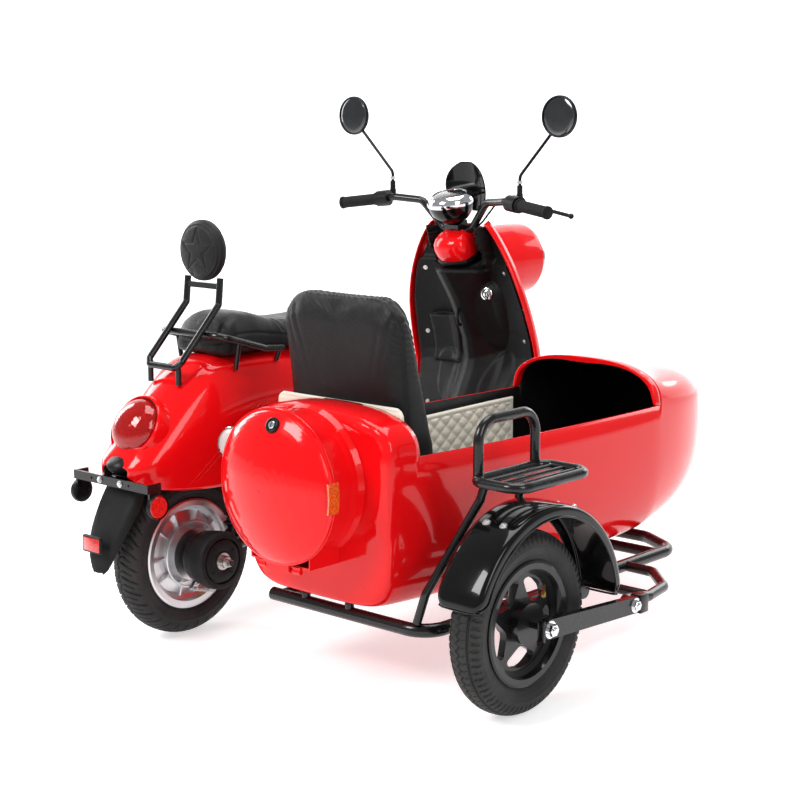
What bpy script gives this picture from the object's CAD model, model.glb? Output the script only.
"""Looks of the sidecar scooter: smooth skins, upholstery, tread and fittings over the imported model."""
import math

import bmesh
import bpy
from mathutils import Matrix, Vector
from mathutils.bvhtree import BVHTree


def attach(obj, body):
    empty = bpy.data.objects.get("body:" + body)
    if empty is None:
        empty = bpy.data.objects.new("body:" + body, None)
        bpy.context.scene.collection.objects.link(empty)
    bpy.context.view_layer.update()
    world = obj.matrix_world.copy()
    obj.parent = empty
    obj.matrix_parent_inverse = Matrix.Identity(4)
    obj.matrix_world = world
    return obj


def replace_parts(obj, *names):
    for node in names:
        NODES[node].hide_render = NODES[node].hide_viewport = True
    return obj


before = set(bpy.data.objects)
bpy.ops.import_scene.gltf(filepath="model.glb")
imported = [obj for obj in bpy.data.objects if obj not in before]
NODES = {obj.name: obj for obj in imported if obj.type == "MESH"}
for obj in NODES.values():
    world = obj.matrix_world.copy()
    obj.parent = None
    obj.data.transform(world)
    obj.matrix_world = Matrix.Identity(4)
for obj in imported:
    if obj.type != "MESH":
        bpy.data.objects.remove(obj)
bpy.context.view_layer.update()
# the foot of the rear axle in the model's frame, in metres
AX, AY = -0.3335, -0.64175
# wheels, in millimetres from that foot
TYRE_R = 206.5
REAR_AXLE, FRONT_AXLE, SIDE_AXLE = (0, 0, TYRE_R), (0, 1360, TYRE_R), (1003, 88, TYRE_R)


def W(x, y, z):
    """A point in millimetres from the foot of the rear axle, in the model's frame."""
    return Vector((AX + x / 1000, AY + y / 1000, z / 1000))


def local(p):
    """A point of the model in millimetres from the foot of the rear axle."""
    return (p.x - AX) * 1000, (p.y - AY) * 1000, p.z * 1000


def spow(v, p):
    """A power that keeps the sign."""
    return math.copysign(abs(v) ** p, v)


def mix(a, b, t):
    return a + (b - a) * t


def steps(t):
    """A soft step from 0 to 1."""
    t = min(1, max(0, t))
    return t * t * (3 - 2 * t)


def bell(d, width, height=1):
    return height * math.exp(-((d / width) ** 2))


def lerp(table, v):
    """Value at v of a table of (place, value) pairs."""
    if v <= table[0][0]:
        return table[0][1]
    for (a, p), (b, q) in zip(table, table[1:]):
        if v <= b:
            return mix(p, q, (v - a) / (b - a))
    return table[-1][1]


# materials
class Surface:
    """A material on the Principled shader, with short ways to noise, ramps and bump."""

    def __init__(self, name, color, rough, metal=0.0):
        self.material = bpy.data.materials.new(name)
        self.material.use_nodes = True
        self.nodes = self.material.node_tree.nodes
        self.shader = self.nodes["Principled BSDF"]
        self.place = self.add("TexCoord").outputs["Object"]
        self.put(Base_Color=(*color, 1), Roughness=rough, Metallic=metal)

    def add(self, kind, **sockets):
        node = self.nodes.new("ShaderNode" + kind)
        for name, value in sockets.items():
            self.feed(node.inputs[name.replace("_", " ")], value)
        return node

    def feed(self, socket, value):
        if isinstance(value, bpy.types.NodeSocket):
            self.material.node_tree.links.new(value, socket)
        else:
            socket.default_value = value

    def put(self, **sockets):
        for name, value in sockets.items():
            self.feed(self.shader.inputs[name.replace("_", " ")], value)

    def noise(self, scale, detail=4.0):
        return self.add("TexNoise", Vector=self.place, Scale=scale, Detail=detail).outputs["Fac"]

    def cells(self, scale, feature="F1"):
        node = self.add("TexVoronoi", Vector=self.place, Scale=scale)
        node.feature = feature
        return node.outputs["Distance"]

    def uneven(self, base, amount, scale, detail=4.0):
        """A value that noise lifts by up to an amount."""
        value = self.noise(scale, detail)
        for operation, number in (("MULTIPLY", amount), ("ADD", base)):
            node = self.nodes.new("ShaderNodeMath")
            node.operation = operation
            self.feed(node.inputs[0], value)
            node.inputs[1].default_value = number
            value = node.outputs[0]
        return value

    def ramp(self, value, *stops):
        """Colours or greys between two stops."""
        node = self.nodes.new("ShaderNodeValToRGB")
        self.feed(node.inputs[0], value)
        for element, (place, color) in zip(node.color_ramp.elements, stops):
            element.position = place
            element.color = (*color, 1) if isinstance(color, tuple) else (color, color, color, 1)
        return node.outputs[0]

    def bump(self, *layers):
        """Each layer is a height, a strength and a depth in metres."""
        normal = None
        for height, strength, depth in layers:
            node = self.add("Bump", Height=height, Strength=strength, Distance=depth)
            if normal:
                self.feed(node.inputs["Normal"], normal)
            normal = node.outputs[0]
        self.feed(self.shader.inputs["Normal"], normal)
        return self.material


def shade(color, times, plus=0.0):
    return tuple(min(1, c * times + plus) for c in color)


def paint(name, color, dark, rough=0.16):
    s = Surface(name, color, rough)
    s.put(Base_Color=s.ramp(s.noise(2.3, 6), (0.3, dark), (0.72, color)), Coat_Weight=0.8, Coat_Roughness=0.02,
          Coat_IOR=1.33, Specular_IOR_Level=0.08, Roughness=s.uneven(rough - 0.06, 0.12, 160, 3))
    return s.bump((s.noise(420, 2), 0.03, 0.0004), (s.noise(9, 2), 0.025, 0.002))


def enamel(name, color, rough, grain=700):
    s = Surface(name, color, rough)
    lift = shade(color, 1.7, 0.002)
    s.put(Base_Color=s.ramp(s.noise(14, 5), (0.4, color), (0.78, lift)), Coat_Weight=0.4, Coat_Roughness=0.08,
          Specular_IOR_Level=0.2, Roughness=s.uneven(rough, 0.16, 60))
    return s.bump((s.noise(grain, 3), 0.12, 0.0005))


def moulded(name, color, rough, grain=900, depth=0.0004):
    s = Surface(name, color, rough)
    pale = shade(color, 1.5, 0.0015)
    s.put(Base_Color=s.ramp(s.noise(20, 6), (0.45, color), (0.8, pale)), Specular_IOR_Level=0.2,
          Roughness=s.uneven(rough, 0.15, 45))
    return s.bump((s.cells(grain), 0.3, depth), (s.noise(30, 3), 0.05, 0.001))


def vinyl(name, color, rough, sheen=0.1, creases=0.25):
    s = Surface(name, color, rough)
    pale = shade(color, 1.25, 0.003)
    s.put(Base_Color=s.ramp(s.noise(7, 6), (0.35, color), (0.75, pale)), Sheen_Weight=sheen, Sheen_Roughness=0.5,
          Specular_IOR_Level=0.22, Roughness=s.uneven(rough, 0.2, 55, 5))
    grain = s.ramp(s.cells(430, "DISTANCE_TO_EDGE"), (0.0, 0.0), (0.14, 1.0))
    return s.bump((grain, 0.28, 0.0005), (s.noise(26, 5), creases, 0.0035))


def metal(name, color, rough, grain=240, strength=0.08):
    s = Surface(name, color, rough, 1.0)
    s.put(Base_Color=s.ramp(s.noise(11, 5), (0.3, shade(color, 0.82)), (0.7, color)),
          Roughness=s.uneven(rough, 0.14, grain))
    return s.bump((s.noise(grain * 2, 3), strength, 0.0004))


def tyre_rubber():
    s = Surface("tyre_rubber", (0.01, 0.01, 0.0105), 0.62)
    dusty = s.ramp(s.noise(9, 7), (0.42, (0.0075, 0.0075, 0.008)), (0.8, (0.026, 0.024, 0.022)))
    s.put(Base_Color=dusty, Specular_IOR_Level=0.35, Roughness=s.uneven(0.5, 0.22, 70, 5))
    return s.bump((s.noise(900, 3), 0.18, 0.0004), (s.noise(120, 4), 0.08, 0.0008))


def lens(name, color, density, ribs=0, turn=(0, 0, 0)):
    """A coloured glass, with ribs at a wave scale across an axis that is turned from x."""
    s = Surface(name, color, 0.06)
    s.put(Transmission_Weight=density, IOR=1.42, Coat_Weight=0.25, Coat_Roughness=0.03)
    if not ribs:
        return s.bump((s.noise(60, 2), 0.05, 0.001))
    turned_place = s.add("Mapping", Vector=s.place, Rotation=turn).outputs[0]
    wave = s.add("TexWave", Vector=turned_place, Scale=ribs, Distortion=0.0)
    return s.bump((wave.outputs["Fac"], 0.16, 0.001), (s.noise(60, 2), 0.03, 0.001))


def reflector(name, color):
    s = Surface(name, color, 0.12)
    s.put(Base_Color=s.ramp(s.cells(240), (0.1, shade(color, 0.35)), (0.6, color)), Coat_Weight=1.0,
          Coat_Roughness=0.03)
    return s.bump((s.cells(240), 0.6, 0.001))


RED = paint("red_paint", (0.72, 0.004, 0.006), (0.66, 0.003, 0.005))
GLOSS = paint("gloss_black", (0.0025, 0.0025, 0.003), (0.002, 0.002, 0.0025))
FRAME = enamel("frame_enamel", (0.0035, 0.0035, 0.004), 0.2)
CAST_BLACK = enamel("cast_black", (0.004, 0.004, 0.0045), 0.26, 380)
WHITE = enamel("lamp_white", (0.86, 0.86, 0.85), 0.2, 500)
TRIM = moulded("trim_plastic", (0.0022, 0.0022, 0.0025), 0.42)
SMOOTH = moulded("smooth_plastic", (0.004, 0.004, 0.0045), 0.3, 1500, 0.0002)
MATT = moulded("matt_casting", (0.006, 0.006, 0.0065), 0.5, 700, 0.0003)
RUBBER = moulded("soft_rubber", (0.006, 0.006, 0.006), 0.6, 1100)
TYRE = tyre_rubber()
SEAT = vinyl("black_vinyl", (0.0026, 0.0026, 0.003), 0.3, 0.03)
PAD = vinyl("pad_vinyl", (0.0036, 0.0036, 0.004), 0.38, 0.04, 0.12)
CREAM = vinyl("cream_vinyl", (0.66, 0.62, 0.53), 0.36, creases=0.12)
CHROME = metal("chrome", (0.86, 0.87, 0.89), 0.035, 90, 0.03)
ALLOY = metal("cast_alloy", (0.76, 0.77, 0.79), 0.27, 300, 0.14)
ZINC = metal("zinc_bolt", (0.66, 0.66, 0.64), 0.22, 500, 0.12)
BRASS = metal("valve_brass", (0.83, 0.50, 0.14), 0.24, 400, 0.1)
REFLECT = metal("lamp_reflector", (0.93, 0.93, 0.93), 0.09, 60, 0.02)
MIRROR = metal("mirror_glass", (0.12, 0.125, 0.13), 0.03, 40, 0.0)
CLEAR = lens("clear_lens", (0.96, 0.97, 0.98), 1.0, 55)
RED_LENS = lens("red_lens", (0.66, 0.004, 0.003), 0.7, 42, (0, 0.9, 0))
SIGNAL = lens("signal_lens", (0.97, 0.96, 0.95), 0.34, 60, (0, 0, 0.3))
BULB = lens("bulb", (0.98, 0.55, 0.10), 0.55)
AMBER = reflector("amber_reflector", (0.86, 0.10, 0.008))
RED_REFLECTOR = reflector("red_reflector", (0.62, 0.012, 0.01))


# making pieces
def piece(name, bm, mat, body="chassis", smooth=40):
    """A mesh piece that rides on a body. Edges past smooth degrees stay sharp; 0 leaves it faceted."""
    me = bpy.data.meshes.new(name)
    bmesh.ops.recalc_face_normals(bm, faces=bm.faces)
    bm.to_mesh(me)
    bm.free()
    o = bpy.data.objects.new(name, me)
    bpy.context.scene.collection.objects.link(o)
    me.materials.append(mat)
    if smooth:
        me.shade_smooth()
        me.set_sharp_from_angle(angle=math.radians(smooth))
    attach(o, body)
    return o


def modify(o, *modifiers):
    """Puts modifiers of (kind, settings) on a piece and applies them to its mesh."""
    for kind, settings in modifiers:
        m = o.modifiers.new(kind, kind)
        for setting, value in settings.items():
            setattr(m, setting, value)
    deps = bpy.context.evaluated_depsgraph_get()
    deps.update()
    me = bpy.data.meshes.new_from_object(o.evaluated_get(deps))
    o.modifiers.clear()
    o.data = me


def subdivide(levels):
    return "SUBSURF", dict(levels=levels, render_levels=levels)


def tree_of(me):
    """A search tree of a mesh's faces."""
    bm = bmesh.new()
    bm.from_mesh(me)
    tree = BVHTree.FromBMesh(bm)
    bm.free()
    return tree


def mesh(verts, faces):
    bm = bmesh.new()
    vs = [bm.verts.new(v) for v in verts]
    for f in faces:
        bm.faces.new([vs[i] for i in f])
    return bm


def join(*parts):
    bm = bmesh.new()
    for p in parts:
        me = bpy.data.meshes.new("part")
        p.to_mesh(me)
        p.free()
        bm.from_mesh(me)
        bpy.data.meshes.remove(me)
    return bm


def grid(rows, wrap=False):
    """A quad skin through rows of points."""
    n, m = len(rows), len(rows[0])
    faces = [(i * m + j, i * m + (j + 1) % m, (i + 1) * m + (j + 1) % m, (i + 1) * m + j)
             for i in range(n - 1) for j in range(m if wrap else m - 1)]
    return mesh([p for r in rows for p in r], faces)


def cap_ends(bm, n):
    """Closes a wrapped grid over its first and its last n points."""
    bm.verts.ensure_lookup_table()
    bm.faces.new(bm.verts[:n])
    bm.faces.new(bm.verts[-n:])
    return bm


def loft(rings):
    """A closed skin through rings, with a cap of its own at each end."""
    return cap_ends(grid(rings, True), len(rings[0]))


def around(n):
    """The angles of n even steps round a circle."""
    return [2 * math.pi * k / n for k in range(n)]


def spin(profile, n=48, place=None):
    """A revolve round z of (radius, height) points, in metres."""
    bm = bmesh.new()
    rings = []
    for r, z in profile:
        if r < 1e-6:
            rings.append([bm.verts.new((0, 0, z))])
        else:
            rings.append([bm.verts.new((r * math.cos(a), r * math.sin(a), z)) for a in around(n)])
    for a, b in zip(rings, rings[1:]):
        for k in range(n):
            corners = [a[k % len(a)], a[(k + 1) % n % len(a)], b[(k + 1) % n % len(b)], b[k % len(b)]]
            corners = [v for i, v in enumerate(corners) if v not in corners[:i]]
            if len(corners) > 2:
                bm.faces.new(corners)
    if place is not None:
        bm.transform(place)
    return bm


def frame_at(p, z):
    """A placement whose z points along z."""
    z = Vector(z).normalized()
    x = Vector((1, 0, 0)) if abs(z.x) < 0.9 else Vector((0, 1, 0))
    y = z.cross(x).normalized()
    x = y.cross(z)
    return Matrix.Translation(p) @ Matrix((x, y, z)).transposed().to_4x4()


def tube(points, r, n=12, closed=False):
    """A round tube along points in metres; r is one radius or a list of them."""
    pts = [Vector(p) for p in points]
    m = len(pts)
    rows = []
    side = (pts[1] - pts[0]).normalized().orthogonal().normalized()
    for i, p in enumerate(pts):
        if closed:
            t = (pts[(i + 1) % m] - pts[i - 1]).normalized()
        else:
            t = (pts[min(i + 1, m - 1)] - pts[max(i - 1, 0)]).normalized()
        side = (side - t * side.dot(t)).normalized()
        up = t.cross(side)
        q = r[i] if isinstance(r, list) else r
        rows.append([p + (side * math.cos(a) + up * math.sin(a)) * q for a in around(n)])
    if not closed:
        return loft(rows)
    bm = grid(rows + rows[:1], True)
    bmesh.ops.remove_doubles(bm, verts=bm.verts, dist=1e-6)
    return bm


def smooth_path(pts, per=8, closed=False):
    """A Catmull-Rom path through points."""
    pts = [Vector(p) for p in pts]
    n = len(pts)
    out = []
    for i in range(n if closed else n - 1):
        g = [pts[(i + k) % n] if closed else pts[min(max(i + k, 0), n - 1)] for k in (-1, 0, 1, 2)]
        for k in range(per):
            t = k / per
            out.append(0.5 * (2 * g[1] + (g[2] - g[0]) * t + (2 * g[0] - 5 * g[1] + 4 * g[2] - g[3]) * t * t
                              + (3 * g[1] - g[0] - 3 * g[2] + g[3]) * t ** 3))
    if not closed:
        out.append(pts[-1])
    return out


def box(lo, hi, bevel=0.0003, place=None):
    bm = bmesh.new()
    bmesh.ops.create_cube(bm, size=1)
    lo, hi = Vector(lo), Vector(hi)
    bm.transform(Matrix.Translation((lo + hi) / 2) @ Matrix.Diagonal((*(hi - lo), 1)))
    bmesh.ops.bevel(bm, geom=bm.edges[:], offset=bevel, segments=2, profile=0.5, affect="EDGES")
    if place is not None:
        bm.transform(place)
    return bm


def hexnut(place, r, h, shank, out, washer):
    """A nut on a washer with its bolt's end, facing z."""
    thick, chamfer = 0.0015, 0.001
    bm = join(spin([(0, 0), (washer, 0), (washer, thick), (0, thick)], 24),
              spin([(0, thick), (r, thick), (r, h - chamfer), (r * 0.9, h), (0, h)], 6),
              spin([(0, h), (shank, h), (shank, h + out - chamfer), (shank * 0.7, h + out), (0, h + out)], 16))
    bm.transform(place)
    return bm


def capscrew(place, r, h):
    """A socket screw on its washer, facing z."""
    thick = 0.001
    bm = join(spin([(0, 0), (r * 1.5, 0), (r * 1.5, thick), (0, thick)], 20),
              spin([(0, thick), (r, thick), (r, h - thick), (r * 0.85, h), (r * 0.5, h), (r * 0.5, h * 0.45),
                    (0, h * 0.45)], 20))
    bm.transform(place)
    return bm


def turned(name, profile, mat, body="chassis", n=64, place=None, slot=None, nodes=()):
    """A revolved piece from (radius, height) in millimetres."""
    o = piece(name, spin([(r / 1000, z / 1000) for r, z in profile], n, place), mat, body, 40)
    if nodes:
        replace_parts(o, *nodes)
    return o


# colours of the nodes, shown or stood for
LOOKS = (
    (RED, "side_skirts cowl_lip boot_base boot_lid headset front_mudguard tub tail_body leg_shield"),
    (FRAME, "scooter_frame sidecar_frame fork handlebar rack wheel_bar grab_rail backrest_hoop rear_bracket"),
    (FRAME, "rear_shocks"),
    (CAST_BLACK, "side_rim swing_arm"),
    (TRIM, "inner_shield floor_board saddle_front_panel battery_pack mudflap"),
    (SMOOTH, "levers mirrors flyscreen"),
    (GLOSS, "fender"),
    (SEAT, "saddle sidecar_seat sidecar_backrest"),
    (PAD, "backrest_pad"),
    (CREAM, "tub_lining"),
    (CLEAR, "head_lamp turn_signals"),
    (RED_LENS, "tail_lamp"),
    (RED_REFLECTOR, "reflectors"),
    (CHROME, "dash_cup"),
    (RUBBER, "grips"),
    (TYRE, "front_tyre rear_tyre side_tyre"),
    (ALLOY, "front_rim rear_rim"),
)
for mat, names in LOOKS:
    for node in names.split():
        me = NODES[node].data
        me.materials.clear()
        me.materials.append(mat)
        me.shade_smooth()
        me.set_sharp_from_angle(angle=math.radians(35))


# smooth skins over the faceted panels
def smoothed(node, mat, name, levels=2, hold=50, body="chassis"):
    """A smooth piece with the shape of a faceted CAD node. Edges past hold degrees stay sharp."""
    bm = bmesh.new()
    bm.from_mesh(NODES[node].data)
    bmesh.ops.remove_doubles(bm, verts=bm.verts, dist=2e-5)
    flat = math.radians(40)
    bmesh.ops.join_triangles(bm, faces=bm.faces, angle_face_threshold=flat, angle_shape_threshold=flat,
                             cmp_seam=False)
    crease = bm.edges.layers.float.new("crease_edge")
    for e in bm.edges:
        if len(e.link_faces) != 2 or e.calc_face_angle(0) > math.radians(hold):
            e[crease] = 1.0
    o = piece(name, bm, mat, body, 0)
    modify(o, subdivide(levels))
    o.data.shade_smooth()
    o.data.set_sharp_from_angle(angle=math.radians(hold))
    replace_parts(o, node)
    return o


def line_inside(o, centre, mat):
    """Gives the faces that look towards a centre their own material."""
    o.data.materials.append(mat)
    for f in o.data.polygons:
        if (f.center - centre).normalized().dot(f.normal) < 0:
            f.material_index = 1


tub = smoothed("tub", RED, "tub_skin")
tail = smoothed("tail_body", RED, "tail_skin")
smoothed("leg_shield", RED, "shield_skin", 1)
smoothed("cowl_lip", RED, "cowl_lip_skin", hold=70)
smoothed("mudflap", RUBBER, "mudflap_skin", 1)
smoothed("flyscreen", GLOSS, "flyscreen_skin", body="steering", hold=60)


# soft goods
def soft(name, bm, mat, node, carve, voxel=0.007, cap=0.008):
    """A stuffed piece: remeshed, blown up as cloth by at most cap, smoothed, then carved at its seams."""
    o = piece(name, bm, mat, "chassis", 0)
    modify(o, ("REMESH", dict(mode="VOXEL", voxel_size=voxel)))
    frames = 20
    start = [v.co.copy() for v in o.data.vertices]
    cloth = o.modifiers.new("cloth", "CLOTH")
    cloth.settings.use_pressure = True
    cloth.settings.uniform_pressure_force = 4
    cloth.settings.effector_weights.gravity = 0
    cloth.settings.quality = 4
    cloth.point_cache.frame_end = frames
    for f in range(1, frames + 1):
        bpy.context.scene.frame_set(f)
    modify(o)
    for v, p in zip(o.data.vertices, start):
        d = v.co - p
        if d.length > cap:
            v.co = p + d.normalized() * cap
    bpy.context.scene.frame_set(1)
    modify(o, ("SMOOTH", dict(iterations=3)), subdivide(1))
    normals = [v.normal.copy() for v in o.data.vertices]
    for v, n in zip(o.data.vertices, normals):
        v.co -= n * carve(*local(v.co), n)
    o.data.shade_smooth()
    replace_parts(o, node)


def squarish(cx, cy, z, half_x, half_y, n, power_y=0.3):
    """A level ring with flat sides and tight corners."""
    return [W(cx + half_x * spow(math.cos(a), 0.3), cy + half_y * spow(math.sin(a), power_y), z)
            for a in around(n)]


# tall cushion behind the passenger: its rear and front faces are (height, distance from the rear axle)
BACK_X, BACK_HALF, BACK_FOOT, BACK_TOP, BACK_CORNER = 508.5, 192.5, 434, 900, 84
BACK_REAR = [(404, 88), (545, 71), (836, 40), (906, 42)]
BACK_FRONT = [(404, 200), (545, 186), (836, 100), (906, 94)]


def back_ring(z):
    rise = min(1, max(0, z - (BACK_TOP - BACK_CORNER)) / BACK_CORNER)
    low = max(0, BACK_FOOT - z) / 30
    w = BACK_HALF - BACK_CORNER * (1 - math.sqrt(max(0, 1 - rise ** 2))) - 14 * low * low
    rear, front = lerp(BACK_REAR, z) + 5 * low, lerp(BACK_FRONT, z) - 5 * low
    return squarish(BACK_X, (rear + front) / 2, z, w, (front - rear) / 2, 40, 0.36)


def back_carve(x, y, z, n):
    cut = 0
    for seam in (lerp(BACK_REAR, z) + 17, lerp(BACK_FRONT, z) - 17):
        d = y - seam
        cut += bell(d, 2.6, 0.0022)
        near = bell(d, 20) * (0.3 + 0.7 * min(1, max(0, (z - 640) / 160)))
        cut += 0.0008 * near * math.sin(0.42 * (z + x) + 3 * math.sin(0.05 * x))
    # slack folds at the upper corners of the rear panel
    if n.y < -0.3 and z > 650:
        for cx, way in ((345, 1), (676, -1)):
            for shift, deep in ((0, 0.0022), (26, 0.0016)):
                line = (x - cx) * way - shift - (860 - z) * 0.28
                cut += bell(line, 6, deep) * bell(z - 800, 62)
    return cut


back_heights = [408, 414, 422, BACK_FOOT, *range(452, 816, 18), 816, 836, 854, 870, 882, 891, 897, BACK_TOP]
soft("sidecar_backrest_cushion", loft([back_ring(z) for z in back_heights]), SEAT, "sidecar_backrest",
     back_carve, cap=0.009)

# cushion that the passenger sits on: (height, inset) of its rings
BENCH_X, BENCH_Y = 529.5, 400
BENCH = ((309, 26), (312, 12), (320, 4), (345, 0), (380, 0), (398, 5), (406, 14), (410, 30))


def bench_carve(x, y, z, n):
    cut = bell(z - 396, 2.6, 0.0024) + bell(z - 326, 2.6, 0.002)
    if n.z > 0.5:
        cut += bell((y - BENCH_Y + 40 * math.cos((x - BENCH_X) / 150)) - 60, 3, 0.003)
        cut += 0.001 * math.sin(x * 0.05) * bell(y - 270, 40)
    return cut


soft("sidecar_seat_cushion", loft([squarish(BENCH_X, BENCH_Y, z, 207 - i, 154 - i, 48) for z, i in BENCH]),
     SEAT, "sidecar_seat", bench_carve)

# the scooter's saddle: (distance from the rear axle, half width, height over its underside)
SADDLE = [(60, 66, 34), (64, 84, 58), (84, 97, 88), (110, 99, 99), (150, 97, 100), (190, 97, 96), (224, 97, 86),
          (250, 99, 78), (280, 107, 71), (320, 117, 66), (370, 121, 64), (430, 120, 65), (480, 113, 69),
          (530, 102, 74), (575, 86, 78), (610, 74, 71), (632, 64, 56), (644, 52, 34)]
SADDLE_Z, SADDLE_BASE = 704, 14
saddle_width, saddle_height = [(y, w) for y, w, h in SADDLE], [(y, h) for y, w, h in SADDLE]


def saddle_ring(y, w, h):
    ring = []
    for a in around(36):
        s = math.sin(a)
        rise = (h - 16) * spow(s, 0.62) if s > 0 else -11 * spow(-s, 0.4)
        ring.append(W(w * spow(math.cos(a), 0.5), y, SADDLE_Z + SADDLE_BASE + rise))
    return ring


def saddle_carve(x, y, z, n):
    w, h = lerp(saddle_width, y), lerp(saddle_height, y)
    cut = bell(z - SADDLE_Z - 0.52 * h, 2.8, 0.0024)
    if n.z > 0.35:
        cut += bell(y - 262 - 0.0012 * x * x, 3.2, 0.0035)
        cut += bell(abs(x) - 0.6 * w, 2.6, 0.0016) * (1 if 275 < y < 610 else 0.3)
        cut += 0.0009 * math.sin(0.16 * y + 0.5 * math.sin(0.06 * x)) * bell(y - 300, 40)
    return cut


soft("saddle_cushion", loft([saddle_ring(*r) for r in SADDLE]), SEAT, "saddle", saddle_carve,
     voxel=0.006, cap=0.006)

# round backrest pad with a sewn star on its rear face
PAD_R, PAD_Y, PAD_Z, STAR_R, STAR_INNER = 77, 89, 963, 56, 0.40
PAD_HALF = [(0, 22), (55, 21), (68, 18), (75.5, 10)]
PAD_PROFILE = [(r, -y) for r, y in PAD_HALF] + [(PAD_R, 0)] + PAD_HALF[::-1]
STAR = [(r * math.sin(a), r * math.cos(a)) for r, a in zip([STAR_R, STAR_R * STAR_INNER] * 5, around(10))]


def segment_distance(px, pz, a, b):
    ux, uz = b[0] - a[0], b[1] - a[1]
    t = min(1, max(0, ((px - a[0]) * ux + (pz - a[1]) * uz) / (ux * ux + uz * uz)))
    return math.hypot(px - a[0] - t * ux, pz - a[1] - t * uz)


def pad_carve(x, y, z, n):
    cut = bell(y - 76, 2.4, 0.002) + bell(y - 103, 2.4, 0.002)
    if n.y < -0.45:
        cut += bell(min(segment_distance(x, z - PAD_Z, STAR[k - 1], STAR[k]) for k in range(10)), 2.3, 0.0034)
        cut += bell(math.hypot(x, z - PAD_Z) - 63, 2.0, 0.0012)
    return cut


soft("backrest_pad_cushion", spin([(r / 1000, y / 1000) for r, y in PAD_PROFILE], 64,
                                  frame_at(W(0, PAD_Y, PAD_Z), (0, 1, 0))),
     PAD, "backrest_pad", pad_carve, voxel=0.004, cap=0.004)


# tyres, with the tread cut round them
TREAD_PITCH, TREADS, TYRE_STEPS, TREAD_DEPTH = 36.04, 36, 540, 3.4
# one side wall from the bead out, as (radius, distance from the middle)
WALL = [(127.5, 27.5), (137, 27.8), (142, 28), (144.5, 30.5), (147, 31.5), (148, 32.9), (151, 34.2), (152, 33.8),
        (156, 36.2), (163, 38.5), (168, 39.3), (169, 40), (173, 40), (174, 39.6), (178, 39.8)]


def stripe(d, half, soft_edge=0.9):
    """1 inside a groove, falling to 0 past its edge."""
    return min(1, max(0, (half + soft_edge - abs(d)) / soft_edge))


def wrapped(c):
    """Distance in millimetres from the nearest repeat."""
    return (c - math.floor(c + 0.5)) * TREAD_PITCH


def road_tread(c, v):
    """Slanted grooves that run out to both shoulders, with a short sipe between two."""
    side = 0.5 if v > 0 else 0
    u = abs(v)
    bend = 0.42 * u + 0.004 * u * u
    d = stripe(wrapped(c - side - bend / TREAD_PITCH), 2.1) * stripe(u - 32, 24, 2)
    d = max(d, 0.8 * stripe(wrapped(c - side + 0.5 - bend / TREAD_PITCH), 1.2) * stripe(u - 24, 11, 2))
    return max(d, stripe(v - 3.2 * math.sin(2 * math.pi * c), 1.5))


def block_tread(c, v):
    """A zigzag round the middle, two straight grooves and notched shoulders."""
    u = abs(v)
    zigzag = 5 * (4 * abs(c * 2 - math.floor(c * 2 + 0.5)) - 1)
    d = max(stripe(v - zigzag, 1.9), stripe(u - 23, 1.6))
    d = max(d, stripe(wrapped(c * 2 - (0.5 if v > 0 else 0) - u / 90), 5.4) * stripe(u - 46, 16, 2))
    return max(d, 0.7 * stripe(wrapped(c * 2 + 0.25 + u / 60), 2.4) * stripe(u - 14, 5, 2))


def tyre_section():
    """Points across the tyre: radius, distance from the middle, arc along the crown and lean."""
    edge, shoulder, half, steps_up = 60, 162.5, 40, 19
    crown = []
    for i in range(steps_up + 1):
        a = math.radians(edge * (1 - i / steps_up))
        crown.append((mix(shoulder, TYRE_R, math.cos(a) ** 0.9),
                      half * (math.sin(a) / math.sin(math.radians(66))) ** 0.8, a))
    arc = [0]
    for p, q in zip(crown[::-1], crown[-2::-1]):
        arc.append(arc[-1] + math.hypot(p[0] - q[0], p[1] - q[1]))
    section = [(r, s, None, 0) for r, s in WALL]
    section += [(r, s, v, a) for (r, s, a), v in zip(crown, arc[::-1])]
    return section + [(r, -s, -v if v is not None else None, -a) for r, s, v, a in section[-2::-1]]


def tyre(node, body, at, tread):
    section, rows = tyre_section(), []
    for i, turn in enumerate(around(TYRE_STEPS)):
        row = []
        for r, s, v, lean in section:
            d = TREAD_DEPTH * tread(i * TREADS / TYRE_STEPS, v) if v is not None else 0
            r, s = r - d * math.cos(lean), s - d * math.sin(lean)
            row.append(W(at[0] + s, at[1] + r * math.cos(turn), at[2] + r * math.sin(turn)))
        rows.append(row)
    bm = grid(rows + rows[:1], True)
    bmesh.ops.remove_doubles(bm, verts=bm.verts, dist=1e-6)
    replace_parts(piece(node + "_tread", bm, TYRE, body, 38), node)


tyre("rear_tyre", "rear_wheel", REAR_AXLE, road_tread)
tyre("front_tyre", "front_wheel", FRONT_AXLE, road_tread)
tyre("side_tyre", "side_wheel", SIDE_AXLE, block_tread)

# inside of the tub: black walls with quilted panels sewn to them
line_inside(tub, W(529, 600, 400), TRIM)
line_inside(tail, W(0, 260, 480), TRIM)
QUILT_Y0, QUILT_Y1, QUILT_Z0, QUILT_Z1, QUILT_RISE = 206, 966, 226, 500, 16
DIAMOND, QUILT_STEP, QUILT_EDGE, SLANT = 47.0, 3.0, 13.0, 1.25
tub_walls = tree_of(NODES["tub"].data)


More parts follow.
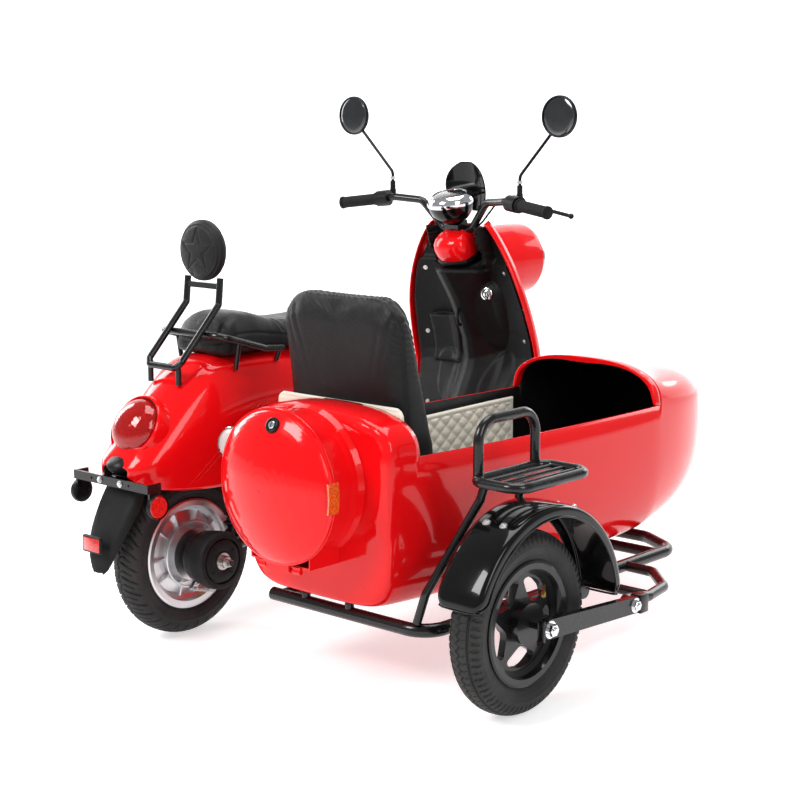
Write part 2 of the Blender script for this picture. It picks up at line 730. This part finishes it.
def quilt_puff(y, z, inward):
    """Thickness of the padding in millimetres: diamonds, and a rolled edge round them."""
    if inward < QUILT_EDGE:
        band = inward / QUILT_EDGE
        puff = 3.2 + 4.8 * math.sin(math.pi * min(1, band * 1.02)) ** 0.5 * (1 - 0.25 * band)
        return puff - 0.5 if abs(inward - 4.5) < 1.6 else puff
    u, v = (y + SLANT * z) / DIAMOND, (y - SLANT * z) / DIAMOND
    du, dv = abs(u - math.floor(u + 0.5)), abs(v - math.floor(v + 0.5))
    pillow = (math.sin(math.pi * du) * math.sin(math.pi * dv)) ** 0.42
    return 3.0 + 6.2 * pillow - bell(min(du, dv) * DIAMOND - 2.2, 0.9, 0.35)


def quilt(name, side):
    """A padded panel with sewn diamonds, laid on a wall of the tub."""
    long, tall = QUILT_Y1 - QUILT_Y0, QUILT_Z1 - QUILT_Z0
    m, n = int(long / QUILT_STEP) + 1, int(tall / QUILT_STEP) + 1
    front, back = [], []
    for i in range(n):
        z = QUILT_Z0 + tall * i / (n - 1)
        for j in range(m):
            y = QUILT_Y0 + long * j / (m - 1)
            top = z + (z - QUILT_Z0) / tall * QUILT_RISE * (y - QUILT_Y0) / long
            puff = quilt_puff(y, top, min(y - QUILT_Y0, QUILT_Y1 - y, z - QUILT_Z0, QUILT_Z1 - z))
            x = tub_walls.ray_cast(W(529, y, top), Vector((side, 0, 0)))[0].x
            front.append(Vector((x - side * (0.0012 + puff / 1000), *W(0, y, top)[1:])))
            back.append(Vector((x - side * 0.0010, *W(0, y, top)[1:])))
    rim = list(range(m)) + [i * m + m - 1 for i in range(1, n)]
    rim += [(n - 1) * m + j for j in range(m - 2, -1, -1)] + [i * m for i in range(n - 2, 0, -1)]
    faces = [(a, a + 1, a + m + 1, a + m) for a in range(m * (n - 1)) if (a + 1) % m]
    for k in range(len(rim)):
        q = (k + 1) % len(rim)
        faces.append((rim[k], rim[q], n * m + q, n * m + k))
    o = piece(name, mesh(front + [back[k] for k in rim], faces), CREAM, "chassis", 60)
    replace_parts(o, "tub_lining")


quilt("quilted_panel_left", -1)
quilt("quilted_panel_right", 1)

# board behind the backrest
BOARD_X0, BOARD_X1, BOARD_Z0, BOARD_Z1 = 306, 709, 386, 651


def rounded(x0, x1, z0, z1, r):
    """Corner-rounded outline in the XZ plane, from its lower right corner round."""
    pts, per = [], 8
    for cx, cz, a in ((x1 - r, z0 + r, -90), (x1 - r, z1 - r, 0), (x0 + r, z1 - r, 90), (x0 + r, z0 + r, 180)):
        for k in range(per + 1):
            b = math.radians(a + 90 * k / per)
            pts.append((cx + r * math.cos(b), cz + r * math.sin(b)))
    return pts


def slab(x0, x1, z0, z1, r, sections):
    """A rounded pad in XZ built from (distance along y, inset) sections."""
    return loft([[W(x, y, z) for x, z in rounded(x0 + i, x1 - i, z0 + i, z1 - i, max(2, r - i))]
                 for y, i in sections])


def board_carve(x, y, z, n):
    d = min(x - BOARD_X0, BOARD_X1 - x, BOARD_Z1 - z, z - BOARD_Z0) - 11
    cut = bell(d, 2.0, 0.0017) if abs(n.y) > 0.4 else 0
    return cut + (0.0005 * math.sin(0.9 * (x + z)) if abs(d) < 2.5 else 0)


soft("backrest_board", slab(BOARD_X0, BOARD_X1, BOARD_Z0, BOARD_Z1, 24,
                            ((39.5, 8), (40.5, 3), (43, 0.5), (46.5, 0), (50, 0.5), (52.5, 3), (53.5, 8))),
     CREAM, "tub_lining", board_carve, voxel=0.0055, cap=0.0015)

# tail lamp: a domed red lens in a ringed housing, with its bowl and bulb behind
LAMP_AXIS = Vector((0, -math.cos(math.radians(30)), math.sin(math.radians(30))))
lamp = dict(place=frame_at(W(0, -120, 536) + LAMP_AXIS * 0.016, LAMP_AXIS))
turned("tail_lamp_lens",
       [(0, 50), (15, 49), (30, 46), (44, 40.5), (56, 33), (65, 23), (70, 13), (71.5, 5), (69, 5), (67.5, 12),
        (62.5, 21.5), (54, 31), (42.5, 38), (29, 43), (14.5, 46), (0, 47)], RED_LENS, slot="lamp_red",
       nodes=("tail_lamp",), n=96, **lamp)
turned("tail_lamp_bezel",
       [(71.8, 3), (72.4, 10), (74.5, 14), (78, 14.5), (80.5, 11), (82, 4), (84.5, -8), (86, -26), (84, -60),
        (70, -60), (70, 2)], RED, n=96, **lamp)
turned("tail_lamp_gasket", [(69.5, 1), (72.0, 1), (72.3, 10.2), (70.9, 11), (69.6, 8)], RUBBER, n=96, **lamp)
turned("tail_lamp_bowl",
       [(69, 3), (64, -5), (50, -15), (32, -22), (14, -25), (0, -26), (0, -28), (16, -27), (34, -24),
        (52, -17), (66, -7), (70, 3)], RED, **lamp)
turned("tail_lamp_ring", [(36, 18), (38, 20), (40, 18), (40, -18), (36, -18)], REFLECT, **lamp)
turned("tail_lamp_bulb",
       [(0, 30), (7, 28.5), (12, 22), (13, 13), (10.5, 4), (9, -8), (9, -24), (0, -24)], BULB, n=24, **lamp)


def signal(name, at, axis):
    """A round direction indicator: ring, bowl, bulb and ribbed dome."""
    r, place = 38, frame_at(at, axis)
    turned(name + "_ring",
           [(r - 0.5, -6), (r + 2.6, -5), (r + 3.2, 3), (r + 2.2, 8), (r + 0.4, 9.4), (r - 0.6, 8)], CHROME,
           place=place, n=72)
    turned(name + "_bowl",
           [(r - 1, 7), (r - 8, 1), (r - 20, -3), (0, -4), (0, -5.5), (r - 19, -4.5), (r - 7, -1), (r, 6)],
           WHITE, place=place, n=48)
    turned(name + "_bulb",
           [(0, 17), (5, 15.8), (8, 11.5), (8, 5), (6, 0), (6, -4), (0, -4)], BULB, place=place, n=24)
    turned(name + "_lens",
           [(0, 25), (9, 24.3), (18, 22), (26, 18.2), (32.5, 12.6), (36.4, 6), (r - 0.8, 1), (r - 2.2, 1),
            (35, 6), (31.4, 11.6), (25, 16.8), (17.4, 20.4), (8.8, 22.7), (0, 23.4)], SIGNAL, place=place,
           slot="lamp_glass", nodes=("turn_signals",), n=72)


for s, side in ((-1, "left"), (1, "right")):
    signal(f"rear_signal_{side}", W(s * 117, 57, 494), (s * 0.93, -0.36, 0.05))
    signal(f"front_signal_{side}", W(s * 160, 1193, 706), (s * math.sin(math.radians(22)), 0.9, 0.28))

# licence lamp at the tip of the tail, with the bracket's bolts and reflectors
turned("licence_lamp",
       [(0, 17), (10, 16.4), (18, 14), (23, 9), (24, 2), (23, -8), (0, -8)], SMOOTH, n=40,
       place=Matrix.Translation(W(0, -196, 462)) @ Matrix.Diagonal((1.35, 1.2, 1, 1))
       @ frame_at((0, 0, 0), (0, -0.62, 0.78)))
nuts = [hexnut(frame_at(W(x, -226, 423), (0, -1, 0)), 0.0065, 0.005, 0.0035, 0.002, 0.0085) for x in (-38, 38)]
piece("bracket_bolts", join(*nuts), ZINC, "chassis", 30)
for s in (-1, 1):
    turned(f"side_reflector_cup_{s + 1}",
           [(0, -3), (26, -3), (30, 0), (30.5, 8), (29.2, 11.5), (28.6, 11.5), (28.6, 1), (0, 1)], SMOOTH,
           place=frame_at(W(s * 139, -200, 378), (s, 0, 0)), n=48)
piece("rear_reflector_frame", slab(-34, 34, 258, 300, 5, ((-279.5, 1), (-281, 0), (-286, 0), (-287.6, 1.2))),
      SMOOTH)
piece("rear_reflector_face", slab(-29.5, 29.5, 262.5, 295.5, 2.5, ((-285, 1), (-288.2, 0), (-289, 1))),
      RED_REFLECTOR)

# boot lid: rim lines, lock and the amber reflector at its side
BOOT_X, BOOT_Z = 503, 474


def bead(name, r, y, thick, mat, body):
    """A round bead at radius r about the lid's middle, at y along the lid's axis."""
    pts = [W(BOOT_X, y, BOOT_Z) + Vector((r * math.cos(a), 0, r * math.sin(a))) / 1000 for a in around(128)]
    piece(name, tube(pts, thick / 1000, 10, True), mat, body, 60)


bead("lid_rim_bead", 178.4, -149.5, 3.0, RED, "boot")
bead("lid_step_bead", 169.5, -163, 2.2, RED, "boot")
bead("lid_seal", 171.5, -144.6, 2.2, RUBBER, "chassis")
spot, lean, _, _ = tree_of(NODES["boot_lid"].data).ray_cast(W(520, -400, 620), Vector((0, 1, 0)))
lock = frame_at(spot, lean if lean.y < 0 else -lean)
turned("lid_lock_ring",
       [(0, -6), (18, -6), (18.5, 2), (17.4, 5), (14.8, 6.2), (12.6, 5.2), (12, 2.6), (0, 2.6)], SMOOTH,
       "boot", 48, lock)
turned("lid_lock_barrel", [(0, 2), (9.0, 2), (9.0, 6.0), (8, 7.0), (0, 7.0)], CHROME, "boot", 40, lock)
piece("lid_lock_slot", box((-0.0011, -0.0048, 0.0066), (0.0011, 0.0048, 0.0074), place=lock), RUBBER,
      "boot", 30)
# a band of the lid's rim, 22 degrees long, between two distances along y
REFLECTOR_HALF, REFLECTOR_FRONT, REFLECTOR_REAR = 11, -142, -174
band = [(2.2 * k - REFLECTOR_HALF, REFLECTOR_FRONT) for k in range(11)]
band += [(REFLECTOR_HALF - 2.2 * k, REFLECTOR_REAR) for k in range(11)]
band = [(math.radians(a), y) for a, y in band]
piece("lid_reflector", loft([[W(BOOT_X + r * math.cos(a), y, BOOT_Z + r * math.sin(a)) for a, y in band]
                             for r in (179.2, 183.7)]), AMBER, "boot", 30)

# head lamp: bowl, bulb and glass in the pod's mouth
lamp = dict(place=frame_at(W(0, 1262, 860), (0, 1, 0)))
turned("head_lamp_glass",
       [(0, 130), (22, 129), (44, 125.5), (64, 119.5), (80, 112), (90, 105), (96, 98), (99.5, 96), (99.5, 93),
        (94, 94), (87, 102), (78, 108.5), (62, 116), (43, 122), (21.5, 125.6), (0, 126.6)], CLEAR,
       slot="lamp_glass", n=96, nodes=("head_lamp",), **lamp)
turned("head_lamp_bowl",
       [(97, 94), (90, 74), (76, 52), (56, 34), (34, 24), (16, 21), (0, 21), (0, 19), (17, 19), (35, 22),
        (58, 32), (79, 50.5), (93, 73), (98.5, 94)], REFLECT, n=96, **lamp)
turned("head_lamp_ring",
       [(97.5, 92), (101, 92), (106.5, 97), (107.4, 104), (105.6, 110), (102, 112), (98.4, 108), (97.5, 100)],
       CHROME, n=96, **lamp)
turned("head_lamp_bulb",
       [(0, 66), (6, 64), (8.5, 58), (8.5, 44), (7, 38), (9, 34), (9, 20), (0, 20)], WHITE, n=24, **lamp)
turned("head_lamp_shade", [(0, 72), (12, 70), (13.5, 66), (12, 66), (0, 68)], REFLECT, n=32, **lamp)


# steering: its axis, and where the bars are clamped
CLAMP_Y, CLAMP_Z, DOME_Z, RAKE = 1082.7, 965.0, 900, math.radians(19)
# what the dome needs to turn in, and half the width of the shield that it sweeps past
DOME_ROOM, DOME_SWING = 67.0, 88.0
AHEAD = Vector((0, 1, 0))


def axis_y(z):
    """Where the steering axis is at a height."""
    return 1100 - (z - DOME_Z) * math.tan(RAKE)


# moulded inside of the leg shield: pocket, lock housing and knee pads
PANEL_FOOT, PANEL_TOP, SEAM_Z, SCAN_Y = 306, 972, 876, 600
COLUMN_HALF = [(420, 26), (620, 30), (700, 42), (760, 54), (800, 66), (850, 88), (900, 100)]
COLUMN_TALL = [(560, 0), (640, 5), (700, 12), (760, 24), (800, 38), (850, 56), (900, 62)]


def oval(x, z, cx, cz, a, b):
    return math.hypot((x - cx) / a, (z - cz) / b)


def relief(x, z):
    """Height in millimetres of the moulding over the plain panel."""
    half = lerp(COLUMN_HALF, z)
    h = lerp(COLUMN_TALL, z) * steps((half - abs(x)) / 24 + 0.5)
    # housing of the ignition lock
    d = oval(x, z, 76, 752, 48, 150 if z < 752 else 58)
    h = max(h, 27 * max(0, 1 - d * d) ** 0.7)
    # pocket on the left, open at its top
    if -168 < x < -44 and 548 < z < 716:
        wall = 26 * steps(min(x + 168, -44 - x, z - 548) / 16) * (0.75 + 0.25 * (z - 548) / 168)
        h = max(h, wall * steps((700 + 0.06 * (x + 106) - z) / 5))
    # knee pads
    for side, cz in ((1, 520), (-1, 516)):
        d = oval(x - side * 0.18 * (z - cz), z, side * 92, cz, 50, 88)
        if d < 1.04:
            h += 6 * steps((1 - d) * 6) - bell(d - 0.9, 0.035, 2.2)
    # narrow ledge where the centre column meets the panel
    return h - bell(abs(x) - half - 14, 2.2, 1.2) * (1 if 430 < z < 850 else 0)


def panel_row(z, panel, shield, cols=96):
    """A row of the moulding, laid on the inner shield and, above it, on the leg shield."""
    half = next(x for x in range(240, 0, -3) if shield.ray_cast(W(x, SCAN_Y, z), AHEAD)[0]) - 17
    row = []
    for j in range(cols + 1):
        x = half * (2 * j / cols - 1)
        hit = panel.ray_cast(W(x, SCAN_Y, z), AHEAD)[0] if z < SEAM_Z else None
        back = shield.ray_cast(W(x, SCAN_Y, z), AHEAD)[0]
        y = min(hit.y, back.y if back else hit.y) if hit else (back.y - 0.002 if back else None)
        row.append((x, y))
    known = [q for q in row if q[1] is not None]
    line = []
    for x, y in row:
        if y is None:
            y = min(known, key=lambda q: abs(q[0] - x))[1]
        proud = 0.0016 + relief(x, z) / 1000 * steps((half - abs(x)) / 14)
        if z > 852 and abs(x) < DOME_SWING:
            # stays clear of the dome, which turns with the bars
            room = W(0, axis_y(z) + max(12, math.sqrt(max(0, DOME_ROOM ** 2 - x * x))), 0).y
            proud = max(0.0016, min(proud, y - room))
        line.append(Vector((W(x, 0, 0).x, y - proud, z / 1000)))
    return line


def moulded_panel():
    panel, shield = tree_of(NODES["inner_shield"].data), tree_of(NODES["leg_shield"].data)
    count = 150
    rows = [panel_row(mix(PANEL_FOOT, PANEL_TOP, i / count), panel, shield) for i in range(count + 1)]
    # even out the seam between the two panels
    for _ in range(2):
        for below, row, above in zip(rows, rows[1:], rows[2:]):
            if abs(row[0].z - SEAM_Z / 1000) < 0.03:
                for p, q, r in zip(below, row, above):
                    q.y = (p.y + r.y) / 2
    o = piece("inner_shield_moulding", grid(rows), TRIM, "chassis", 0)
    modify(o, ("SOLIDIFY", dict(thickness=0.0025, offset=-1)))
    o.data.shade_smooth()
    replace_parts(o, "inner_shield")
    return o


panel_tree = tree_of(moulded_panel().data)


def on_panel(x, z):
    hit, normal, _, _ = panel_tree.ray_cast(W(x, SCAN_Y, z), AHEAD)
    return frame_at(hit, -normal if normal.y > 0 else normal)


ignition = on_panel(78, 776)
turned("ignition_lock",
       [(0, -4), (19, -4), (19, 2.5), (17.5, 4), (13, 4.6), (12, 3), (9.5, 3), (9, 6), (7.5, 7), (0, 7)],
       CHROME, place=ignition, n=48)
piece("ignition_slot", box((-0.0012, -0.005, 0.0066), (0.0012, 0.005, 0.0075), place=ignition), RUBBER,
      "chassis", 30)
hook = on_panel(4, 716)
hook_path = ((0, 0.010, -0.004), (0, 0.006, 0.012), (0, -0.006, 0.024), (0, -0.020, 0.026), (0, -0.030, 0.018))
piece("bag_hook", tube([hook @ p for p in smooth_path(hook_path, 6)], 0.005, 12), TRIM, "chassis", 60)
piece("panel_screws", join(*[capscrew(on_panel(s * x, z), 0.0045, 0.003)
                             for x, z in ((150, 840), (186, 640), (150, 430)) for s in (-1, 1)]),
      ZINC, "chassis", 30)


# steering head: dome with its collar, dash cup and mirrors
def swelled(name, profile, mat, nodes=()):
    """A revolved shell on the steering axis, fuller at its rear than on the side by the shield."""
    bm = spin([(r / 1000, z / 1000) for r, z in profile], 96)
    for v in bm.verts:
        aside = abs(math.degrees(math.atan2(v.co.x, -v.co.y)))
        k = 1 - 0.26 * steps((aside - 38) / 44)
        v.co.x *= k
        v.co.y *= k
    bm.transform(Matrix.Translation(W(0, axis_y(DOME_Z), DOME_Z)) @ Matrix.Rotation(RAKE, 4, "X"))
    o = piece(name, bm, mat, "steering", 40)
    if nodes:
        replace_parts(o, *nodes)


swelled("headset_dome",
        [(69, -10), (74, 2), (77, 13), (78, 25), (75.5, 40), (68, 53), (56, 63), (41, 70), (28, 72.5),
         (24, 72.5), (24, 70), (39, 67), (53, 60.5), (65, 51), (73, 38.5), (75.5, 25), (74.5, 13), (71, 2),
         (66, -10)], RED, ("headset",))
swelled("headset_collar", [(60, -24), (70, -22), (74, -14), (72, -8), (60, -8)], TRIM)
CUP_TILT = math.radians(14)
cup = frame_at(W(0, CLAMP_Y - 18, CLAMP_Z + 24), (0, -math.sin(CUP_TILT), math.cos(CUP_TILT)))
turned("dash_bowl",
       [(0, -6), (18, -6), (34, -1), (48, 9), (59, 24), (65, 40), (67, 52), (64, 53), (0, 50)], GLOSS,
       "steering", 72, cup, "gloss_black", nodes=("dash_cup",))
turned("dash_bezel",
       [(64, 51), (68.5, 51.5), (70, 56), (69.5, 63), (66, 72), (60, 79), (54, 82), (51, 81), (51, 77),
        (57, 74), (62, 66), (64, 56)], CHROME, "steering", 96, cup)
turned("dash_face", [(0, 74), (53, 74), (54, 72), (0, 71)], SMOOTH, "steering", 64, cup)
turned("dash_scale", [(40, 74.6), (42, 74.6), (42, 74.2), (40, 74.2)], REFLECT, "steering", 64, cup)
needle = box((-0.0011, -0.010, 0.0748), (0.0011, 0.036, 0.0758), place=cup @ Matrix.Rotation(0.7, 4, "Z"))
piece("dash_needle", needle, RED, "steering", 30)
turned("dash_glass",
       [(0, 85.5), (18, 85), (34, 83.2), (46, 80.2), (52, 77.5), (52, 76.5), (46, 79.2), (34, 82.2), (18, 84),
        (0, 84.5)], CLEAR, "steering", 64, cup)
for s, side in ((-1, "left"), (1, "right")):
    face = frame_at(W(s * 385, CLAMP_Y - 35, 1290), (0, -1, 0))
    turned(f"mirror_glass_{side}",
           [(0, 0.6), (40, 0.5), (52, 0.2), (53, -0.6), (0, -0.6)], MIRROR, "steering", 64, face)
    turned(f"mirror_rim_{side}",
           [(52, -2), (52.4, 1.6), (54.4, 2.6), (56.6, 1.6), (57.6, -2), (57.6, -8), (55, -8)], SMOOTH,
           "steering", 96, face)
    turned(f"mirror_locknut_{side}",
           [(0, 0), (8.5, 0), (8.5, 7), (6, 8), (0, 8)], ZINC, "steering", 6,
           frame_at(W(s * 240, CLAMP_Y - 16, 1103), (0, 0, 1)))


# grips with a diamond pattern
def grip_radius(t, a):
    """Radius in millimetres at t along the grip and angle a round it: knurled between two flanges."""
    knurl = max(0, math.sin(t * 0.55 + 8 * a) * math.sin(t * 0.55 - 8 * a)) ** 0.4 if 9 < t < 108 else 0
    return 16.3 + 0.9 * knurl + (2.4 if t < 4 or t > 113 else 0) - (2.6 if t < -3.4 else 0)


for s, side in ((-1, "left"), (1, "right")):
    end, root = W(s * 385, CLAMP_Y - 80, 1030), W(s * 205, CLAMP_Y - 43, 1052)
    place = frame_at(end, root - end)
    rows = []
    for t in [-4.5 + 125 * i / 96 for i in range(97)]:
        rings = [(grip_radius(t, a), a) for a in around(64)]
        rows.append([place @ (Vector((r * math.cos(a), r * math.sin(a), t)) / 1000) for r, a in rings])
    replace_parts(piece(f"grip_{side}", loft(rows), RUBBER, "steering", 50), "grips")


# fender over the sidecar wheel: crowned, with rolled sides and rounded ends
FENDER_Y, FENDER_Z, FENDER_R, FENDER_A0, FENDER_ARC = 131, 195, 272.4, 3.5, 158
# (distance to a side, height) from an edge to the crown
FENDER_HALF = [(63, -27), (63, -18), (62.6, -11), (60.5, -6.2), (56, -3), (48, -1.2), (36, 0), (20, 0.7), (0, 1)]
FENDER_PROFILE = FENDER_HALF + [(-s, d) for s, d in FENDER_HALF[-2::-1]]


def fender_row(degrees):
    """Points across the fender, drawn in towards its two ends."""
    end = min(degrees - FENDER_A0, FENDER_A0 + FENDER_ARC - degrees) * math.radians(1) * FENDER_R
    short = max(0, 1 - end / 34)
    a = math.radians(degrees)
    row = []
    for s, d in FENDER_PROFILE:
        r = FENDER_R + d * (1 - 0.75 * short ** 2) - 5 * short ** 2
        row.append(W(SIDE_AXLE[0] + s * (1 - 0.30 * short ** 2.4), FENDER_Y + r * math.cos(a),
                     FENDER_Z + r * math.sin(a)))
    return row


fender_rows = [fender_row(FENDER_A0 + FENDER_ARC * i / 78) for i in range(79)]
fender = piece("fender_skin", grid(fender_rows), GLOSS, "chassis", 0)
modify(fender, ("SOLIDIFY", dict(thickness=0.003, offset=-1, use_even_offset=True)), subdivide(1))
fender.data.shade_smooth()
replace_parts(fender, "fender")
edge = [row[0] for row in fender_rows] + [row[-1] for row in fender_rows[::-1]]
piece("fender_rolled_edge", tube(smooth_path(edge, 3, True), 0.0026, 10, True), GLOSS, "chassis", 60)


def on_fender(x, y):
    z = FENDER_Z + math.sqrt((FENDER_R + 0.6) ** 2 - (y - FENDER_Y) ** 2)
    return frame_at(W(x, y, z), (0, y - FENDER_Y, z - FENDER_Z))


piece("fender_bolts", join(*[hexnut(on_fender(x, y), 0.0068, 0.0055, 0.0036, 0.0025, 0.0095)
                             for y in (8, 262) for x in (978, 1024)]), ZINC, "chassis", 30)


# outer bar of the sidecar wheel
def facing_right(x, y, z):
    return frame_at(W(x, y, z), (1, 0, 0))


BAR_X = 1092
piece("bar_bolts", join(hexnut(facing_right(BAR_X, SIDE_AXLE[1], TYRE_R), 0.0145, 0.0135, 0.008, 0.004, 0.0195),
                        hexnut(facing_right(BAR_X, 414, 188), 0.0125, 0.010, 0.007, 0.003, 0.0175)),
      CHROME, "chassis", 30)
piece("bar_end_plates", join(box(W(1078, 60, 183), W(1096, 66, 231), 0.0015),
                             box(W(1066, 430, 164), W(1097, 462, 208), 0.003)), FRAME, "chassis", 30)


# tyre valves and hub fittings
def valve(name, body, axle, degrees, side):
    """A bent valve stem with its cap, standing in from the rim at an angle round the wheel."""
    a = math.radians(degrees)
    stem = [W(*axle) + Vector((side * x, r * math.cos(a), r * math.sin(a)))
            for r, x in ((0.119, 0.004), (0.110, 0.006), (0.088, 0.018))]
    piece(name, tube(smooth_path(stem, 6), 0.0036, 14), BRASS, body, 60)
    tip = stem[2] + (stem[2] - stem[1]).normalized() * 0.011
    piece(name + "_cap", tube([stem[2], tip], 0.0052, 14), BRASS, body)


valve("side_valve", "side_wheel", SIDE_AXLE, 38, 1)
valve("rear_valve", "rear_wheel", REAR_AXLE, -62, 1)
valve("front_valve", "front_wheel", FRONT_AXLE, 100, -1)

turned("brake_boss",
       [(45, 56), (47, 60), (52, 70), (60, 84), (67, 98), (71, 112), (72.6, 126), (72.8, 140), (71.5, 147),
        (68, 151), (60, 151.5), (58.5, 150), (57.5, 143), (55, 142), (53.5, 149.5), (51, 151.5), (30, 151.8),
        (26, 150), (24, 151.5), (0, 152)], MATT, place=facing_right(*REAR_AXLE), n=96)
BOSS_FACE, SCREW_RING = 151, 40
piece("rear_axle_nut", hexnut(facing_right(BOSS_FACE, 0, TYRE_R), 0.0155, 0.016, 0.0085, 0.014, 0.0215), ZINC,
      "chassis", 30)
spots = [(SCREW_RING * math.cos(a), TYRE_R + SCREW_RING * math.sin(a)) for a in (0.6, 2.2, 3.8, 5.4)]
piece("brake_boss_screws", join(*[capscrew(facing_right(BOSS_FACE + 0.4, y, z), 0.0035, 0.002) for y, z in spots]),
      SMOOTH, "chassis", 30)
arm = [W(x, y, z) for x, y, z in ((70, -18, 150), (74, -34, 138), (80, -46, 132), (88, -52, 140))]
piece("brake_arm", tube(smooth_path(arm, 5), 0.0045, 10), ZINC, "chassis", 60)
coil = [W(62 + 0.55 * k, -20 + 5 * math.cos(k * 0.9) + 0.3 * k, 124 + 5 * math.sin(k * 0.9)) for k in range(90)]
piece("brake_spring", tube(coil, 0.0011, 6), ZINC, "chassis", 60)
for name, x, r, thick in (("rear_rim_step", 37.5, 84, 3), ("rear_hub_step", 39.5, 58, 2.4),
                          ("rear_rim_lip", 27.5, 131, 2.6)):
    pts = [W(x, r * math.cos(a), TYRE_R + r * math.sin(a)) for a in around(96)]
    piece(name, tube(pts, thick / 1000, 10, True), ALLOY, "rear_wheel", 60)

# creases pressed into the tail's sides, rising forward and fading at both ends
tail_tree = tree_of(tail.data)
for s, side in ((-1, "left"), (1, "right")):
    for k, shift in enumerate((0, 13)):
        line = []
        for t in [i / 40 for i in range(41)]:
            y, z = -128 + shift + 330 * t, 344 - 0.3 * shift + 262 * t ** 0.86
            hit = tail_tree.ray_cast(W(s * 400, y, z), Vector((-s, 0, 0)))[0]
            if hit:
                line.append(hit)
        fade = [min(1, i / 8 + 0.15, (len(line) - 1 - i) / 8 + 0.15) for i in range(len(line))]
        piece(f"tail_crease_{side}_{k}", tube(line, [0.0013 * f for f in fade], 8), RED, "chassis", 60)


# floor, light and camera
AZIMUTH, DOWN = math.radians(41.65), math.radians(9.76)


def sheet(name, corners, grey, scale, specular, glow):
    """A plain sheet that shines a little, in a grey that varies between two values."""
    s = Surface(name, (0.9, 0.9, 0.9), 0.9)
    s.put(Base_Color=s.ramp(s.noise(scale, 2), (0.3, grey[0]), (0.7, grey[1])), Specular_IOR_Level=specular,
          Emission_Color=(1, 1, 1, 1), Emission_Strength=glow)
    me = bpy.data.meshes.new(name)
    me.from_pydata(corners, [], [(0, 1, 2, 3)])
    me.materials.append(s.material)
    o = bpy.data.objects.new(name, me)
    bpy.context.scene.collection.objects.link(o)
    return o


def softbox(name, at, to, size, power):
    light = bpy.data.lights.new(name, "AREA")
    light.shape = "RECTANGLE"
    light.size, light.size_y = size
    light.energy = power
    o = bpy.data.objects.new(name, light)
    o.location = at
    o.rotation_euler = (Vector(to) - Vector(at)).to_track_quat("-Z", "Y").to_euler()
    bpy.context.scene.collection.objects.link(o)


def stage():
    floor = sheet("floor", [(-30, -30, 0), (30, -30, 0), (30, 30, 0), (-30, 30, 0)],
                  ((0.68, 0.68, 0.685), (0.71, 0.71, 0.715)), 0.8, 0.1, 0.55)
    paper = sheet("backdrop", [(-14, 0, 0), (14, 0, 0), (14, 0, 9), (-14, 0, 9)], (0.94, 0.96), 0.5, 0.0, 0.85)
    paper.location = (-5.3, 6.0, -0.01)
    paper.rotation_euler = (0, 0, AZIMUTH)
    world = bpy.data.worlds.new("studio")
    bpy.context.scene.world = world
    world.use_nodes = True
    sky = world.node_tree.nodes["Background"].inputs
    sky["Color"].default_value = (1, 1, 1, 1)
    sky["Strength"].default_value = 0.36
    softbox("key", (-1.0, -4.0, 3.5), (0, 0, 0.5), (1.7, 1.7), 175)
    softbox("side", (4.0, -1.4, 2.6), (0, 0, 0.5), (1.5, 2.4), 72)
    softbox("left", (-3.6, -0.6, 2.0), (0, 0, 0.6), (1.0, 2.4), 60)
    softbox("top", (0.2, 0.2, 4.2), (0, 0, 0), (2.4, 2.4), 105)
    softbox("front", (0.5, 4.2, 2.4), (0, 0.5, 0.6), (2.4, 1.4), 36)
    cam = bpy.data.cameras.new("camera")
    cam.lens = 76.5
    cam.sensor_width = 36
    cam.sensor_fit = "HORIZONTAL"
    cam.dof.use_dof = False
    cam.clip_end = 100
    o = bpy.data.objects.new("camera", cam)
    o.location = W(3191, -2759, 1314)
    ahead = Vector((-math.sin(AZIMUTH) * math.cos(DOWN), math.cos(AZIMUTH) * math.cos(DOWN), -math.sin(DOWN)))
    o.rotation_euler = ahead.to_track_quat("-Z", "Y").to_euler()
    bpy.context.scene.collection.objects.link(o)
    bpy.context.scene.camera = o
    bpy.context.scene.view_settings.view_transform = "Standard"


stage()
